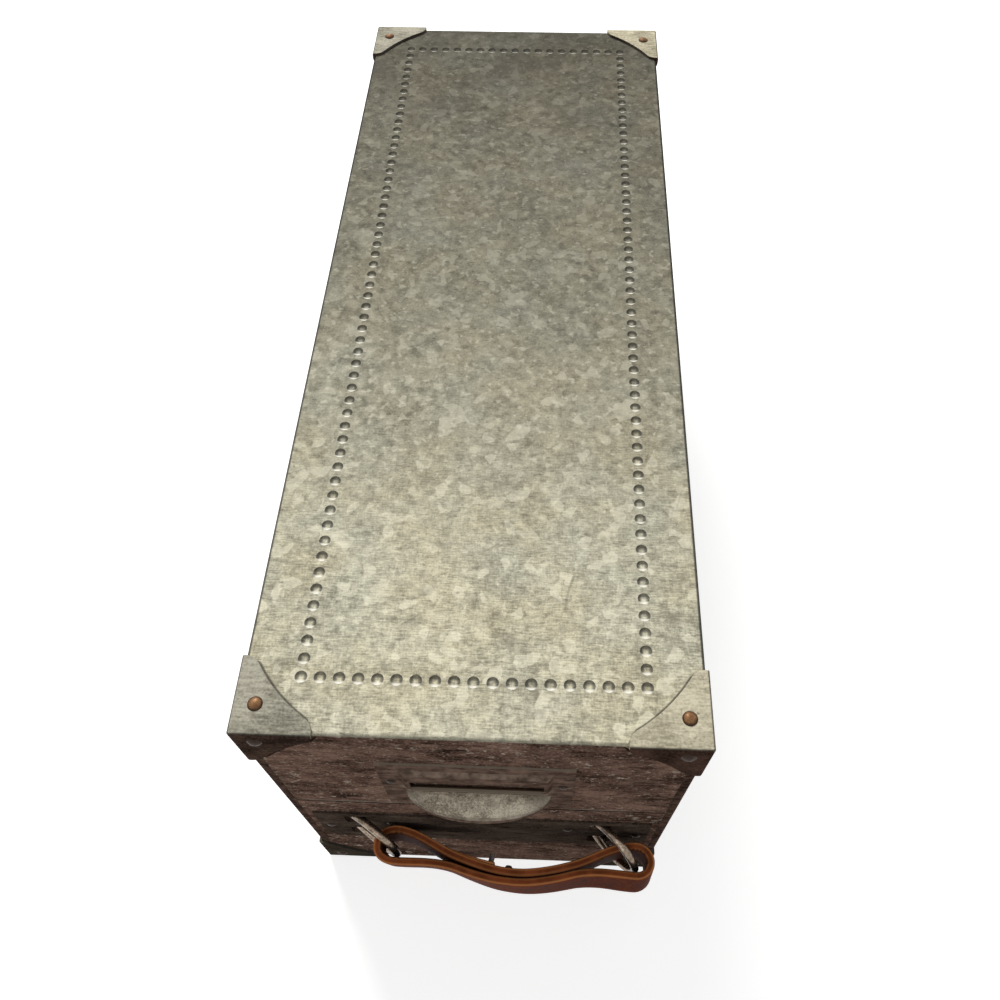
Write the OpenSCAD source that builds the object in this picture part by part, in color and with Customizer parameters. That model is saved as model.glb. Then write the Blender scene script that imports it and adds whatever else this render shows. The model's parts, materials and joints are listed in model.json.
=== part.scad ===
/* [Box] */
// Outside width of the box, side to side
box_w = 165; // [150:1:200]
// Outside length of the box, front end to back end
box_l = 434; // [390:1:480]
// Height of the seam above the table
base_h = 109; // [106:1:130]
// Depth of the lid, from the seam to its top sheet
lid_h = 88; // [80:1:110]
// Thickness of the galvanised sheet
sheet_t = 1; // [0.8:0.1:1.4]
// Gap between the rim of the lid and the rim of the base
seam_gap = 0.3; // [0.2:0.1:0.6]
// Width of the side sheet's flange that laps onto each end panel
flange_w = 4; // [3:0.5:6]
// Open line between a flange and the end panel beside it
lap_gap = 0.2; // [0.1:0.1:0.5]
// Width of the strip that joins an end panel to its lip behind a flange
lip_root = 0.6; // [0.5:0.1:1]
// Outside radius of the sheet's bends
bend_r = 1.5; // [1.2:0.1:2]

/* [Inner rim] */
// Height of the rim above the seam, inside the closed lid
rim_up = 8; // [5:1:15]
// Depth of the band that is soldered inside the base
rim_band = 16; // [10:1:18]
// Thickness of the rim's sheet
rim_t = 1; // [0.8:0.1:1.4]
// Clearance between the rim and the lid all round
rim_clear = 0.6; // [0.4:0.1:1.2]
// Solder gap between the rim's band and the base
rim_fit = 0.05; // [0.02:0.01:0.1]

/* [Dents in the lid] */
// Distance of the row of dents from each edge of the lid
dent_inset = 21; // [17:1:30]
// Spacing of the dents
dent_pitch = 7; // [6:0.5:12]
// Width of a dent at the surface
dent_w = 4.5; // [3:0.25:5]
// Depth of a dent
dent_deep = 0.7; // [0.4:0.05:0.7]

/* [Corner brackets] */
// Length of a bracket's leaf along an edge of the box
leaf_len = 28; // [24:1:36]
// Thickness of a bracket
leaf_t = 1.2; // [1:0.1:2]
// How far a leaf's slanted edge is hollowed
leaf_hollow = 1.5; // [1:0.1:3]
// Radius of the shoulder at each end of a leaf
shoulder_r = 6; // [4:0.5:8]
// Radius of a bracket's bent edges
fold_r = 1.2; // [0.8:0.1:1.6]
// How far the outermost tip of a bracket is rounded off
tip_round = 1; // [0.5:0.1:1.4]
// Distance of an upright leaf's rivet from the leaf's folded upper or lower edge
leaf_rivet_in = 6.5; // [6:0.5:10]
// Distance of a level leaf's rivet from the box's side
cap_rivet_side = 7; // [6.5:0.5:10]
// Distance of a level leaf's rivet from the box's end
cap_rivet_end = 10; // [8:0.5:12]

/* [Rivets] */
// Width of a rivet's head
head_w = 5.5; // [4:0.5:7]
// Height of a rivet's head
head_h = 1.2; // [0.8:0.1:1.6]
// Width of a small rivet's head, on the label holder and the handle plate
small_head_w = 4.2; // [3.6:0.2:5]
// Height of a small rivet's head
small_head_h = 0.9; // [0.6:0.1:1.1]
// Diameter of a rivet's shank
shank_d = 2.6; // [2:0.1:3.2]
// Clearance of a rivet in its hole
rivet_fit = 0.05; // [0.02:0.01:0.1]

/* [Label holder and pull] */
// Width of the holder's back plate
holder_w = 75; // [72:1:90]
// Height of the middle of the back plate above the seam
holder_z = 32; // [31:1:36]
// Height of the back plate
holder_h = 54; // [50:1:56]
// Thickness of the holder's sheet
holder_t = 0.9; // [0.8:0.1:1.2]
// Width of the raised card frame
card_w = 60; // [50:1:66]
// Height of the raised card frame
card_h = 24; // [20:1:26]
// How far the card frame stands out
card_out = 2.6; // [2:0.1:4]
// Width of the bevel round the card frame
card_bevel = 2.5; // [1.5:0.5:3.5]
// Width of the card window
window_w = 52; // [40:1:53]
// Height of the card window
window_h = 10.5; // [6:0.5:12]
// Width of the hooded finger pull
pull_w = 58; // [50:1:66]
// How far the pull's hood stands out
pull_out = 10; // [8:0.5:14]
// Height of the pull's hood
pull_drop = 12; // [10:0.5:14]
// How far the hood bends over towards its lower edge
pull_turn = 80; // [70:1:84]
// Angle that is left open at each side of the hood
pull_side = 4; // [3:0.5:6]

/* [Handle plate] */
// Distance of the ring plate's ends from the box's sides
plate_side = 7.5; // [6:0.5:10]
// Thickness of the ring plate
plate_t = 1; // [0.8:0.1:1.2]
// Height of the ring plate's lower edge above the table
plate_low = 49; // [42:1:50]
// Height of the ring plate's upper edge above the table
plate_top = 90.5; // [89:0.5:92]
// Width of the holes that a ring passes through
ring_hole_w = 10.6; // [10.4:0.1:12]
// Height of the holes that a ring passes through
ring_hole_h = 11; // [11:0.2:12]
// How far a hole's middle lies inside the ring's crossing
hole_shift = 1.6; // [1.4:0.1:1.8]
// Distance of the plate's outer rivets from its ends
plate_rivet_end = 5; // [4:0.5:6]
// Distance of the plate's inner rivets from the ring holes' middles
plate_rivet_side = 15; // [12:0.5:20]
// Height of the plate's inner rivets above its outer ones
plate_rivet_up = 7; // [0:0.5:8]

/* [Rings] */
// Distance between the two rings' hole lines
ring_apart = 110; // [104:1:111]
// Sideways place of the middle between the rings
ring_mid_x = -1.5; // [-2:0.5:1]
// Height of the rings' centres above the table
ring_z = 71; // [70:0.5:72]
// Diameter of the ring, to the middle of its wire
ring_d = 28; // [27.5:0.5:28.5]
// Diameter of the ring's wire
wire_d = 3.6; // [3.2:0.1:3.7]
// Distance of a ring's centre from the middle of the plate and wall
ring_out = 8; // [7.5:0.25:8.2]
// How far the left ring leans to one side at rest
lean_left = 56; // [45:1:57]
// How far the right ring leans to one side at rest
lean_right = 44; // [35:1:50]

/* [Leather strap] */
// Width of the strap
strap_w = 18; // [15:0.5:18]
// Thickness of the leather
strap_t = 3.5; // [3:0.1:3.8]
// Gap between the two layers along the grip
layer_gap = 0.4; // [0.3:0.1:0.8]
// Room between a ring's wire and the inner layer
bight_back = 4.6; // [4.4:0.1:4.8]
// Room between a ring's wire and the outer layer
bight_front = 0.6; // [0.4:0.1:0.8]
// Room between the left ring's wire and the end of the bight
room_left = 4.6; // [4.4:0.1:5.4]
// Room between the right ring's wire and the end of the bight
room_right = 3; // [2.8:0.1:3.6]
// Length over which the two layers come together
bight_len = 28; // [20:1:32]
// How far the grip bows outward
strap_bow = 10.3; // [8:0.5:14]
// Thickness of the skived end that laps over the joint
lap_t = 1.2; // [0.8:0.1:1.6]
// Length of the skived end's lap
lap_len = 22; // [16:1:30]
// Length of the uncut shank behind the strap
tail_len = 4; // [2:0.5:6]
// Distance of the lap's cut end from the strap's middle
lap_off = 9; // [4:0.5:12]

/* [Hinges] */
// Sideways distance of each hinge from the middle
hinge_x = 48; // [34:1:54]
// Width of a hinge
hinge_w = 38; // [30:1:44]
// Height of a hinge leaf
hinge_leaf = 24; // [20:1:30]
// Thickness of a hinge leaf
hinge_t = 1.2; // [1:0.1:1.6]
// Outside diameter of the hinge's barrel
barrel_d = 6; // [5.5:0.1:7]
// Diameter of the hinge pin
pin_d = 3; // [2.6:0.1:3.2]
// Clearance of the pin in its barrel
pin_fit = 0.05; // [0.02:0.01:0.1]
// Gap between neighbouring knuckles
knuckle_gap = 0.3; // [0.2:0.1:0.5]
// Gap between the barrel and the panels
barrel_gap = 0.3; // [0.3:0.1:0.6]

/* [Hidden] */
$fn = 48;

zinc = "#8c8a7e";
dark_zinc = "#4a443e";
steel = "#9a9a96";
copper = "#b0714c";
leather = "#8a4a2c";

eps = 0.01;
box_h = base_h + lid_h;
base_z = leaf_t;
base_sheet_h = base_h - base_z;
lid_sheet_h = lid_h - seam_gap;
lid_z = base_h + seam_gap;
hole_r = shank_d / 2 + rivet_fit;
tail_r = head_w * 0.375;
leaf_rivet_at = flange_w + lap_gap + lip_root + tail_r + 0.14;

ring_r = ring_d / 2;
wire_r = wire_d / 2;
ring_reach = ring_out + ring_r;
wall_mid = (sheet_t + plate_t) / 2 - sheet_t;
ring_line_y = -box_l / 2 - wall_mid;
ring_left_x = ring_mid_x - ring_apart / 2;
ring_right_x = ring_mid_x + ring_apart / 2;
hole_dz = sqrt(ring_r * ring_r - ring_out * ring_out) - hole_shift;
plate_w = box_w - 2 * plate_side;

// Where the strap hangs on each ring: the outermost point of the ring's wire
left_end = [ring_left_x + ring_reach * sin(lean_left),
    ring_line_y - ring_reach * cos(lean_left)];
right_end = [ring_right_x + ring_reach * sin(lean_right),
    ring_line_y - ring_reach * cos(lean_right)];
strap_x0 = left_end[0];
strap_x1 = right_end[0];
back_line = wire_r + bight_back + strap_t / 2;
front_line = wire_r + bight_front + strap_t / 2;
bight_mid = (back_line - front_line) / 2;
bight_half = (back_line + front_line) / 2;
grip_half = (strap_t + layer_gap) / 2;
end_left = wire_r + room_left + strap_t / 2;
end_right = wire_r + room_right + strap_t / 2;

// Share of the way along the strap, from the left ring's wire to the right one's
function along(x) = min(1, max(0, (x - strap_x0) / (strap_x1 - strap_x0)));

// Middle between the two layers of the strap, seen from above
function strap_mid(x) = left_end[1] + (right_end[1] - left_end[1]) * along(x) + bight_mid
    - strap_bow * pow(sin(180 * along(x)), 2);

// A smooth step from 0 to 1
function smooth(t) = let (u = min(1, max(0, t))) u * u * (3 - 2 * u);

// Half the distance between the layers' middle lines
function layer_half(x) = grip_half + (bight_half - grip_half)
    * (1 - smooth(min(x - strap_x0, strap_x1 - x) / bight_len));

axis_y = box_l / 2 + barrel_gap + barrel_d / 2;
axis_z = base_h + seam_gap / 2;
reach_front = max([for (i = [0 : 200])
    let (x = strap_x0 + (strap_x1 - strap_x0) * i / 200)
        layer_half(x) + strap_t / 2 - strap_mid(x)]);
reach_rear = axis_y + barrel_d / 2;
origin_y = (reach_front - reach_rear) / 2;

rivet_span = leaf_t + sheet_t;
plate_rivet_x = plate_w / 2 - plate_rivet_end;
plate_rivet_spots = [
    [-plate_rivet_x, ring_z - 1],
    [ring_left_x + plate_rivet_side, ring_z - 1 + plate_rivet_up],
    [ring_right_x - plate_rivet_side, ring_z - 1 + plate_rivet_up],
    [plate_rivet_x, ring_z - 1]];
holder_rivet_x = holder_w / 2 - 4;
hinge_rivet_x = hinge_w / 2 - 7;
hinge_rivet_z = hinge_leaf / 2 + 2;
knuckles = 5;
knuckle_w = hinge_w / knuckles;

// Moves the box from its own middle to the part's origin
module placed() {
    translate([0, origin_y, 0]) children();
}

// Runs its children at the four corners of the box, turned to face outward
module mirrored_to(sx, sy) {
    mirror([sx > 0 ? 1 : 0, 0, 0]) mirror([0, sy > 0 ? 1 : 0, 0]) children();
}

// A domed rivet on a surface at z = 0, its shank going down through the sheets
module rivet(span, tail = 0.6, w = head_w, h = head_h) {
    dome_r = (w * w / 4 + h * h) / (2 * h);
    intersection() {
        translate([0, 0, h - dome_r]) sphere(r = dome_r);
        cylinder(h = h + 1, d = w + 1);
    }
    translate([0, 0, -span - tail]) cylinder(h = span + tail + eps, d = shank_d);
    if (tail > 0)
        translate([0, 0, -span - tail]) cylinder(h = tail, r = tail_r * w / head_w);
}

// A rivet with a small head
module small_rivet(span) {
    rivet(span, 0.6, small_head_w, small_head_h);
}

// The hole that a rivet passes through, cut down from z = 0
module rivet_hole(span) {
    translate([0, 0, -span - 1]) cylinder(h = span + 2, r = hole_r);
}

// Places its children on the upright faces of one corner, at the bracket's rivets.
// The corner's faces are x = 0, y = 0 and z = 0, with the box towards +x +y +z.
module side_rivet_places() {
    translate([leaf_rivet_at, -leaf_t, leaf_rivet_in]) rotate([90, 0, 0]) children();
    translate([-leaf_t, leaf_rivet_at, leaf_rivet_in]) rotate([0, -90, 0]) children();
}

// Places its children on all three faces of one corner
module corner_rivet_places() {
    translate([cap_rivet_side, cap_rivet_end, -leaf_t]) rotate([180, 0, 0]) children();
    side_rivet_places() children();
}

// Moves a corner piece from its own corner to a lower corner of the box
module at_base_corner(sx, sy) {
    mirrored_to(sx, sy) translate([-box_w / 2, -box_l / 2, base_z]) children();
}

// Moves a corner piece from its own corner to an upper corner of the box
module at_lid_corner(sx, sy) {
    mirrored_to(sx, sy) translate([-box_w / 2, -box_l / 2, box_h]) mirror([0, 0, 1]) children();
}

// Runs its children once for each corner
module each_corner() {
    for (sx = [-1, 1])
        for (sy = [-1, 1])
            if ($top)
                at_lid_corner(sx, sy) children();
            else
                at_base_corner(sx, sy) children();
}

// What a bend of radius r takes off a square corner at the origin
module corner_bite(r) {
    difference() {
        translate([-1, -1]) square(r + 1);
        translate([r, r]) circle(r = r);
    }
}

// Outline of one leaf, its square corner at the origin: round shoulders, hollow slant
module leaf_outline() {
    side = leaf_len + leaf_t;
    in = leaf_t + 0.3;
    dx = shoulder_r * cos(58);
    dy = shoulder_r * sin(58);
    near = in + dy;
    far = side - shoulder_r + dx;
    chord = (far - near) * sqrt(2);
    hollow_r = (chord * chord / 4 + leaf_hollow * leaf_hollow) / (2 * leaf_hollow);
    off = (far + near) / 2 + (hollow_r - leaf_hollow) / sqrt(2);
    difference() {
        intersection() {
            square(side);
            union() {
                polygon([[0, 0], [side, 0], [side, in], [far, near], [near, far],
                    [in, side], [0, side]]);
                translate([side - shoulder_r, in]) circle(r = shoulder_r);
                translate([in, side - shoulder_r]) circle(r = shoulder_r);
            }
        }
        translate([off, off]) circle(r = hollow_r, $fn = 96);
    }
}

// A three-leaved stamped corner, with its box corner at the origin
module corner_bracket() {
    reach = leaf_len + leaf_t + 1;
    color(steel) difference() {
        intersection() {
            translate([-leaf_t, -leaf_t, -leaf_t]) union() {
                linear_extrude(leaf_t) leaf_outline();
                rotate([90, 0, 90]) linear_extrude(leaf_t) leaf_outline();
                mirror([0, 1, 0]) rotate([90, 0, 0]) linear_extrude(leaf_t) leaf_outline();
            }
            translate([leaf_len, leaf_len, leaf_len])
                sphere(r = (leaf_len + leaf_t) * sqrt(3) - tip_round, $fn = 96);
        }
        translate([-leaf_t, -leaf_t, -leaf_t]) {
            translate([0, 0, -1]) linear_extrude(reach + 1) corner_bite(fold_r);
            translate([-1, 0, 0]) rotate([90, 0, 90]) linear_extrude(reach + 1) corner_bite(fold_r);
            mirror([0, 1, 0]) translate([0, 1, 0]) rotate([90, 0, 0])
                linear_extrude(reach + 1) corner_bite(fold_r);
        }
        corner_rivet_places() rivet_hole(leaf_t);
    }
}

module base_bracket_front_left() {
    placed() at_base_corner(-1, -1) corner_bracket();
}

module base_bracket_front_right() {
    placed() at_base_corner(1, -1) corner_bracket();
}

module base_bracket_rear_left() {
    placed() at_base_corner(-1, 1) corner_bracket();
}

module base_bracket_rear_right() {
    placed() at_base_corner(1, 1) corner_bracket();
}

module lid_bracket_front_left() {
    placed() at_lid_corner(-1, -1) corner_bracket();
}

module lid_bracket_front_right() {
    placed() at_lid_corner(1, -1) corner_bracket();
}

module lid_bracket_rear_left() {
    placed() at_lid_corner(-1, 1) corner_bracket();
}

module lid_bracket_rear_right() {
    placed() at_lid_corner(1, 1) corner_bracket();
}

// The bottom and sides of one half as one bent sheet, open side up at z = h
module wrapper(h) {
    difference() {
        translate([-box_w / 2, -box_l / 2, 0]) cube([box_w, box_l, h]);
        translate([-box_w / 2 + sheet_t, -box_l / 2 + sheet_t, sheet_t])
            cube([box_w - 2 * sheet_t, box_l - 2 * sheet_t, h]);
        for (s = [-1, 1])
            translate([-box_w / 2 + flange_w, s * (box_l - sheet_t) / 2 - sheet_t, sheet_t])
                cube([box_w - 2 * flange_w, 2 * sheet_t, h]);
        for (sx = [-1, 1])
            mirrored_to(sx, -1) translate([-box_w / 2, box_l / 2 + 1, 0])
                rotate([90, 0, 0]) linear_extrude(box_l + 2) corner_bite(bend_r);
        for (sy = [-1, 1])
            mirrored_to(-1, sy) translate([-box_w / 2 - 1, -box_l / 2, 0])
                rotate([90, 0, 90]) linear_extrude(box_w + 2) corner_bite(bend_r);
        for (sx = [-1, 1])
            for (sy = [-1, 1])
                mirrored_to(sx, sy) translate([-box_w / 2, -box_l / 2, -1])
                    linear_extrude(h + 2) corner_bite(bend_r);
    }
}

// One end of a half, with a lip behind each flange; its outer face is y = -box_l / 2
module end_panel(h) {
    half = box_w / 2 - flange_w - lap_gap;
    translate([-half, -box_l / 2, sheet_t]) cube([2 * half, sheet_t, h - sheet_t]);
    for (s = [0, 1])
        mirror([s, 0, 0])
            translate([half - lip_root, -box_l / 2 + sheet_t, sheet_t])
                cube([box_w / 2 - sheet_t - half + lip_root, sheet_t, h - sheet_t]);
}

// Turns an end panel to the back of the box
module to_rear() {
    rotate([0, 0, 180]) children();
}

// Turns one half upside down to make the lid's half
module as_lid() {
    translate([0, 0, box_h]) mirror([0, 0, 1]) children();
}

module base_wrapper() {
    color(zinc) placed() difference() {
        translate([0, 0, base_z]) wrapper(base_sheet_h);
        each_corner($top = false) corner_rivet_places() rivet_hole(rivet_span);
    }
}

module base_front_panel() {
    color(dark_zinc) placed() difference() {
        translate([0, 0, base_z]) end_panel(base_sheet_h);
        each_corner($top = false) corner_rivet_places() rivet_hole(rivet_span);
        ring_holes();
        plate_rivet_places() rivet_hole(plate_t + sheet_t);
    }
}

module base_rear_panel() {
    color(zinc) placed() difference() {
        to_rear() translate([0, 0, base_z]) end_panel(base_sheet_h);
        each_corner($top = false) corner_rivet_places() rivet_hole(rivet_span);
        hinge_rivet_places(-1) rivet_hole(hinge_t + sheet_t);
    }
}

// The soldered band inside the base, stepped in where it enters the lid
module inner_rim() {
    band_x = box_w / 2 - sheet_t - rim_fit;
    band_y = box_l / 2 - 2 * sheet_t - rim_fit;
    up_x = box_w / 2 - sheet_t - rim_clear;
    up_y = box_l / 2 - 2 * sheet_t - rim_clear;
    low = base_h - rim_band;
    color(zinc) placed() difference() {
        union() {
            translate([-band_x, -band_y, low]) cube([2 * band_x, 2 * band_y, rim_band]);
            translate([-up_x, -up_y, low]) cube([2 * up_x, 2 * up_y, rim_band + rim_up]);
        }
        translate([-up_x + rim_t, -up_y + rim_t, low - 1])
            cube([2 * (up_x - rim_t), 2 * (up_y - rim_t), rim_band + rim_up + 2]);
    }
}

// One dent's ball, which cuts the sheet at z = 0
module dent_ball(grow = 0) {
    ball_r = (dent_w * dent_w / 4 + dent_deep * dent_deep) / (2 * dent_deep);
    translate([0, 0, ball_r - dent_deep]) sphere(r = ball_r + grow, $fn = 32);
}

// Runs its children at every dent of the rectangle of dents
module dent_places() {
    half_x = box_w / 2 - dent_inset;
    half_y = box_l / 2 - dent_inset;
    nx = round(2 * half_x / dent_pitch);
    ny = round(2 * half_y / dent_pitch);
    for (s = [-1, 1]) {
        for (i = [0 : nx])
            translate([-half_x + i * 2 * half_x / nx, s * half_y, box_h]) children();
        for (i = [1 : ny - 1])
            translate([s * half_x, -half_y + i * 2 * half_y / ny, box_h]) children();
    }
}

module lid_wrapper() {
    color(zinc) placed() difference() {
        as_lid() wrapper(lid_sheet_h);
        dent_places() dent_ball();
        each_corner($top = true) corner_rivet_places() rivet_hole(rivet_span);
    }
}

module lid_front_panel() {
    color(dark_zinc) placed() difference() {
        as_lid() end_panel(lid_sheet_h);
        each_corner($top = true) corner_rivet_places() rivet_hole(rivet_span);
        holder_rivet_places() rivet_hole(holder_t + sheet_t);
    }
}

module lid_rear_panel() {
    color(zinc) placed() difference() {
        to_rear() as_lid() end_panel(lid_sheet_h);
        each_corner($top = true) corner_rivet_places() rivet_hole(rivet_span);
        hinge_rivet_places(1) rivet_hole(hinge_t + sheet_t);
    }
}

// The base's rivets: those under the box have their heads inside and flush ends
module base_bracket_rivets() {
    color(copper) placed() each_corner($top = false) {
        side_rivet_places() rivet(rivet_span);
        translate([cap_rivet_side, cap_rivet_end, sheet_t]) rivet(rivet_span, 0);
    }
}

module lid_bracket_rivets() {
    color(copper) placed() each_corner($top = true) corner_rivet_places() rivet(rivet_span);
}

// Ring plate, ring holes and their rivets on the front of the base
module front_rivet_at(x, z, t) {
    translate([x, -box_l / 2 - t, z]) rotate([90, 0, 0]) children();
}

module plate_rivet_places() {
    for (spot = plate_rivet_spots)
        front_rivet_at(spot[0], spot[1], plate_t) children();
}

// A punched hole with rounded corners, centred on the origin, along y
module punched_hole() {
    corner = 2;
    depth = 3 * (sheet_t + plate_t);
    rotate([90, 0, 0]) translate([0, 0, -depth / 2]) {
        for (sx = [-1, 1])
            for (sz = [-1, 1])
                translate([sx * (ring_hole_w / 2 - corner), sz * (ring_hole_h / 2 - corner), 0])
                    cylinder(h = depth, r = corner);
        translate([-ring_hole_w / 2, -ring_hole_h / 2 + corner, 0])
            cube([ring_hole_w, ring_hole_h - 2 * corner, depth]);
        translate([-ring_hole_w / 2 + corner, -ring_hole_h / 2, 0])
            cube([ring_hole_w - 2 * corner, ring_hole_h, depth]);
    }
}

module ring_holes() {
    for (x = [ring_left_x, ring_right_x])
        for (s = [-1, 1])
            translate([x, ring_line_y, ring_z + s * hole_dz]) punched_hole();
}

module handle_plate() {
    clip = 5;
    high = plate_top - plate_low;
    color(dark_zinc) placed() difference() {
        translate([0, -box_l / 2, plate_low]) rotate([90, 0, 0]) linear_extrude(plate_t)
            polygon([[-plate_w / 2 + clip, 0], [plate_w / 2 - clip, 0], [plate_w / 2, clip],
                [plate_w / 2, high], [-plate_w / 2, high], [-plate_w / 2, clip]]);
        ring_holes();
        plate_rivet_places() rivet_hole(plate_t);
    }
}

module handle_plate_rivets() {
    color(steel) placed() plate_rivet_places() small_rivet(plate_t + sheet_t);
}

// A round wire ring through its two holes, leaning to the side
module ring(x, lean) {
    color(steel) placed() translate([x, ring_line_y, ring_z]) rotate([0, 0, lean])
        translate([0, -ring_out, 0]) rotate([0, 90, 0]) rotate_extrude($fn = 72)
            translate([ring_r, 0]) circle(d = wire_d, $fn = 24);
}

module ring_left() {
    ring(ring_left_x, lean_left);
}

module ring_right() {
    ring(ring_right_x, lean_right);
}

// Outline of the strap's loop from above, moved out from its middle line by d
function loop_outline(d, steps = 40, turn = 12) = concat(
    [for (i = [0 : steps]) let (x = strap_x0 + (strap_x1 - strap_x0) * i / steps)
        [x, strap_mid(x) - layer_half(x) - d]],
    [for (i = [1 : turn - 1]) let (a = -90 + 180 * i / turn)
        [strap_x1 + (end_right + d) * cos(a), strap_mid(strap_x1) + (bight_half + d) * sin(a)]],
    [for (i = [0 : steps]) let (x = strap_x1 - (strap_x1 - strap_x0) * i / steps)
        [x, strap_mid(x) + layer_half(x) + d]],
    [for (i = [1 : turn - 1]) let (a = 90 + 180 * i / turn)
        [strap_x0 + (end_left + d) * cos(a), strap_mid(strap_x0) + (bight_half + d) * sin(a)]]);

lap_x1 = (strap_x0 + strap_x1) / 2 - lap_off;
lap_x0 = lap_x1 - lap_len;

// The skived end that laps over the joint, on the strap's inner side
function lap_outline(steps = 8) = concat(
    [for (i = [0 : steps]) let (x = lap_x0 + lap_len * i / steps)
        [x, strap_mid(x) + layer_half(x) + strap_t / 2 - 0.2]],
    [for (i = [steps : -1 : 0]) let (x = lap_x0 + lap_len * i / steps)
        [x, strap_mid(x) + layer_half(x) + strap_t / 2 + lap_t * i / steps]]);

strap_rivet_x = [lap_x1 - 3, lap_x1 + 6];
strap_rivet_z = [ring_z + 2, ring_z + 5];
strap_shank_r = 1.25;

// Direction of the strap at a place along it, seen from above
function strap_slope(x) = atan((strap_mid(x + 1) - strap_mid(x - 1)) / 2);

// The two places where the strap's ends are riveted, square to the leather
module strap_rivet_place(i) {
    x = strap_rivet_x[i];
    y = strap_mid(x) + layer_half(x) - strap_t / 2;
    translate([x, y, strap_rivet_z[i]]) rotate([0, 0, strap_slope(x)])
        rotate([-90, 0, 0]) children();
}

module handle_strap() {
    color(leather) placed() difference() {
        translate([0, 0, ring_z - strap_w / 2]) linear_extrude(strap_w) difference() {
            union() {
                polygon(loop_outline(strap_t / 2));
                polygon(lap_outline());
            }
            polygon(loop_outline(-strap_t / 2));
        }
        for (i = [0, 1])
            strap_rivet_place(i) translate([0, 0, -0.1])
                cylinder(h = strap_t + lap_t + 1, r = strap_shank_r + rivet_fit);
    }
}

// Two small rivets through the lapped ends, one with its shank left long
module strap_rivets() {
    color(steel) placed() {
        strap_rivet_place(0) cylinder(h = strap_t + lap_t + tail_len, r = strap_shank_r);
        strap_rivet_place(1) {
            cylinder(h = strap_t + 0.15, r = strap_shank_r);
            translate([0, 0, strap_t + 0.12]) cylinder(h = 1.2, r1 = 2, r2 = 1.2);
        }
    }
}

// Places on the hinge leaves' rivets: below the seam for side = -1, above it for 1
module hinge_rivet_places(side) {
    for (sx = [-1, 1])
        for (dx = [-1, 1])
            translate([sx * hinge_x + dx * hinge_rivet_x, box_l / 2 + hinge_t,
                base_h + side * hinge_rivet_z])
                rotate([-90, 0, 0]) children();
}

// One leaf of a butt hinge at the seam, with every second knuckle of the barrel
module hinge_leaf_at(sx, side) {
    first = side < 0 ? 0 : 1;
    relief = barrel_d / 2 + barrel_gap;
    leaf_z = side < 0 ? base_h - hinge_leaf : base_h + seam_gap;
    color(steel) placed() difference() {
        union() {
            translate([sx * hinge_x - hinge_w / 2, box_l / 2, leaf_z])
                cube([hinge_w, hinge_t, hinge_leaf]);
            for (i = [first : 2 : knuckles - 1])
                translate([sx * hinge_x - hinge_w / 2 + i * knuckle_w + knuckle_gap / 2,
                    axis_y, axis_z]) {
                    rotate([0, 90, 0]) cylinder(h = knuckle_w - knuckle_gap, d = barrel_d);
                    mirror([0, 0, side < 0 ? 1 : 0])
                        translate([0, box_l / 2 - axis_y, 0])
                            cube([knuckle_w - knuckle_gap, hinge_t, relief + 1]);
                }
        }
        for (i = [1 - first : 2 : knuckles - 1])
            translate([sx * hinge_x - hinge_w / 2 + i * knuckle_w - knuckle_gap / 2,
                axis_y, axis_z]) rotate([0, 90, 0])
                cylinder(h = knuckle_w + knuckle_gap, r = relief);
        translate([sx * hinge_x - hinge_w, axis_y, axis_z]) rotate([0, 90, 0])
            cylinder(h = 2 * hinge_w, r = pin_d / 2 + pin_fit);
        hinge_rivet_places(side) rivet_hole(hinge_t);
    }
}

module hinge_pin_at(sx) {
    head = 0.8;
    color(steel) placed() translate([sx * hinge_x - hinge_w / 2, axis_y, axis_z])
        rotate([0, 90, 0]) {
            cylinder(h = hinge_w, d = pin_d);
            translate([0, 0, -head]) cylinder(h = head, d = barrel_d - 1);
            translate([0, 0, hinge_w]) cylinder(h = head, d = barrel_d - 1);
        }
}

module hinge_base_leaf_left() {
    hinge_leaf_at(-1, -1);
}

module hinge_base_leaf_right() {
    hinge_leaf_at(1, -1);
}

module hinge_pin_left() {
    hinge_pin_at(-1);
}

module hinge_pin_right() {
    hinge_pin_at(1);
}

module hinge_lid_leaf_left() {
    hinge_leaf_at(-1, 1);
}

module hinge_lid_leaf_right() {
    hinge_leaf_at(1, 1);
}

module hinge_base_rivets() {
    color(steel) placed() hinge_rivet_places(-1) rivet(hinge_t + sheet_t);
}

module hinge_lid_rivets() {
    color(steel) placed() hinge_rivet_places(1) rivet(hinge_t + sheet_t);
}

// Heights above the table of the card frame, its window and the pull's hood
card_low = base_h + holder_z - 3;
window_low = card_low + 3;
pull_z = card_low - 5;
holder_x = 0.5;

module holder_rivet_places() {
    for (sx = [-1, 1])
        front_rivet_at(holder_x + sx * holder_rivet_x, card_low + card_h / 3, holder_t)
            children();
}

// A bevelled block on the lid's front, standing out by d and smaller by m all round
module card_block(m, d, back = 0) {
    low = card_low + m;
    hull() {
        translate([holder_x - card_w / 2 + m, -box_l / 2 - eps, low])
            cube([card_w - 2 * m, back + eps, card_h - 2 * m]);
        translate([holder_x - card_w / 2 + m + card_bevel, -box_l / 2 - d, low + card_bevel])
            cube([card_w - 2 * m - 2 * card_bevel, eps, card_h - 2 * m - 2 * card_bevel]);
    }
}

pull_n = 24;
pull_m = 8;

// Outline of the filled hood at one place along its width, wall side at y = 0
function hood_section(a, half, out, drop, back, low) = concat(
    [[-half * cos(a), back, 0]],
    [for (j = [0 : pull_m]) let (v = pull_turn * j / pull_m)
        [-half * cos(a), -out * sin(a) * sin(v), -drop * sin(a) * (1 - cos(v))]],
    [[-half * cos(a), -out * sin(a) * sin(pull_turn), -drop * sin(a) * (1 - cos(pull_turn)) - low],
        [-half * cos(a), back, -drop * sin(a) * (1 - cos(pull_turn)) - low]]);

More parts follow.
